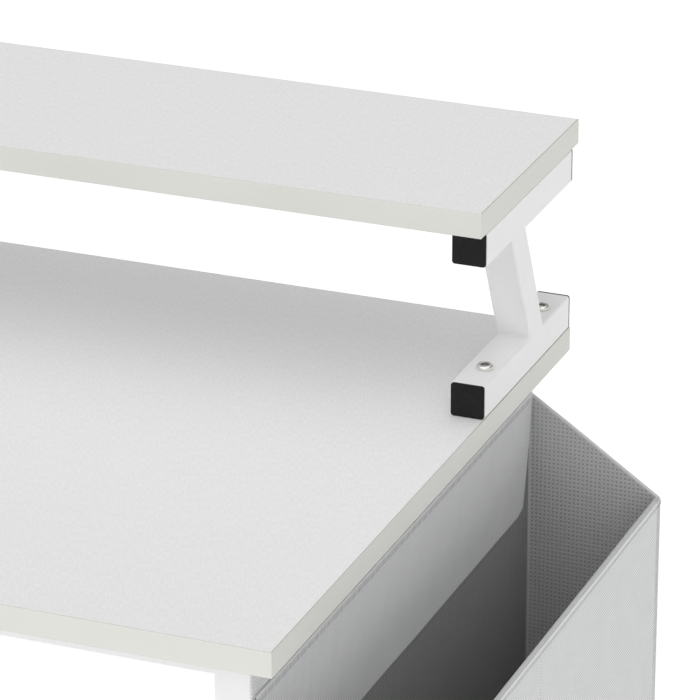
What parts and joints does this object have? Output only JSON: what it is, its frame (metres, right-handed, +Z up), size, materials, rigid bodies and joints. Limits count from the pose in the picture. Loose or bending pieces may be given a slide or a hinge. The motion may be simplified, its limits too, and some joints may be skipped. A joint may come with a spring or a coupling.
{
  "type": "computer desk with monitor shelf and side bag",
  "caption": "White desk on a square-tube steel frame, with a full-width monitor shelf raised on leaning tube brackets and a slanted open fabric bag hung on its right side.",
  "frame": {"origin": "on the floor, at the middle of the overall box, bag and shelf included", "axes": "+X to the user's right, along the desk's width; +Y from the user's edge to the back; +Z up"},
  "size_m": [1.2784, 0.57, 0.905],
  "materials": {
    "white_laminate": "white melamine-faced board with a fine orange-peel texture, satin",
    "cream_edge_band": "cream-grey edge band, satin",
    "white_powder_coat": "white powder-coated steel tube, satin",
    "black_cap_plastic": "black moulded plastic, matt",
    "black_foot_plastic": "black moulded plastic foot, matt",
    "bright_bolt": "bright nickel-plated socket bolt",
    "zinc_screw": "zinc-plated screw",
    "grey_bag_fabric": "light grey ribbed woven polyester outside, dark grey dotted non-woven lining inside"
  },
  "bodies": {
    "desk_frame": {"back_left_leg": "white_powder_coat", "back_left_leg_plug": "black_cap_plastic", "back_left_worktop_screw": "zinc_screw", "back_lower_bar": "white_powder_coat", "back_rail": "white_powder_coat", "back_right_leg": "white_powder_coat", "back_right_leg_plug": "black_cap_plastic", "back_right_worktop_screw": "zinc_screw", "bag_hanging_panel": "grey_bag_fabric", "bag_rail_sleeve": "grey_bag_fabric", "front_left_leg": "white_powder_coat", "front_left_leg_plug": "black_cap_plastic", "front_left_worktop_screw": "zinc_screw", "front_rail": "white_powder_coat", "front_right_leg": "white_powder_coat", "front_right_leg_plug": "black_cap_plastic", "front_right_worktop_screw": "zinc_screw", "left_back_bolt": "bright_bolt", "left_back_shelf_screw": "zinc_screw", "left_bracket_lower_tube": "white_powder_coat", "left_bracket_strut": "white_powder_coat", "left_bracket_upper_tube": "white_powder_coat", "left_front_bolt": "bright_bolt", "left_front_shelf_screw": "zinc_screw", "left_lower_back_cap": "black_cap_plastic", "left_lower_bar": "white_powder_coat", "left_lower_front_cap": "black_cap_plastic", "left_rail": "white_powder_coat", "left_upper_back_cap": "black_cap_plastic", "left_upper_front_cap": "black_cap_plastic", "right_back_bolt": "bright_bolt", "right_back_shelf_screw": "zinc_screw", "right_bracket_lower_tube": "white_powder_coat", "right_bracket_strut": "white_powder_coat", "right_bracket_upper_tube": "white_powder_coat", "right_front_bolt": "bright_bolt", "right_front_shelf_screw": "zinc_screw", "right_lower_back_cap": "black_cap_plastic", "right_lower_bar": "white_powder_coat", "right_lower_front_cap": "black_cap_plastic", "right_rail": "white_powder_coat", "right_upper_back_cap": "black_cap_plastic", "right_upper_front_cap": "black_cap_plastic", "shelf_board": "white_laminate", "shelf_edge_back": "cream_edge_band", "shelf_edge_front": "cream_edge_band", "shelf_edge_left": "cream_edge_band", "shelf_edge_right": "cream_edge_band", "worktop_board": "white_laminate", "worktop_edge_back": "cream_edge_band", "worktop_edge_front": "cream_edge_band", "worktop_edge_left": "cream_edge_band", "worktop_edge_right": "cream_edge_band"},
    "side_bag": {"bag_shell": "grey_bag_fabric", "bag_inner_flap": "grey_bag_fabric"},
    "back_left_levelling_foot": {"back_left_foot": "black_foot_plastic"},
    "back_right_levelling_foot": {"back_right_foot": "black_foot_plastic"},
    "front_left_levelling_foot": {"front_left_foot": "black_foot_plastic"},
    "front_right_levelling_foot": {"front_right_foot": "black_foot_plastic"}
  },
  "joints": [
    {"name": "bag_swing", "type": "hinge", "parent": "desk_frame", "child": "side_bag", "pos_m": [0.53925, -0.005, 0.704], "axis": [0, -1, 0], "range_deg": [0, 30]},
    {"name": "back_left_foot_height", "type": "slide", "parent": "desk_frame", "child": "back_left_levelling_foot", "axis": [0, 0, -1], "range_m": [0, 0.015]},
    {"name": "back_right_foot_height", "type": "slide", "parent": "desk_frame", "child": "back_right_levelling_foot", "axis": [0, 0, -1], "range_m": [0, 0.015]},
    {"name": "front_left_foot_height", "type": "slide", "parent": "desk_frame", "child": "front_left_levelling_foot", "axis": [0, 0, -1], "range_m": [0, 0.015]},
    {"name": "front_right_foot_height", "type": "slide", "parent": "desk_frame", "child": "front_right_levelling_foot", "axis": [0, 0, -1], "range_m": [0, 0.015]}
  ]
}
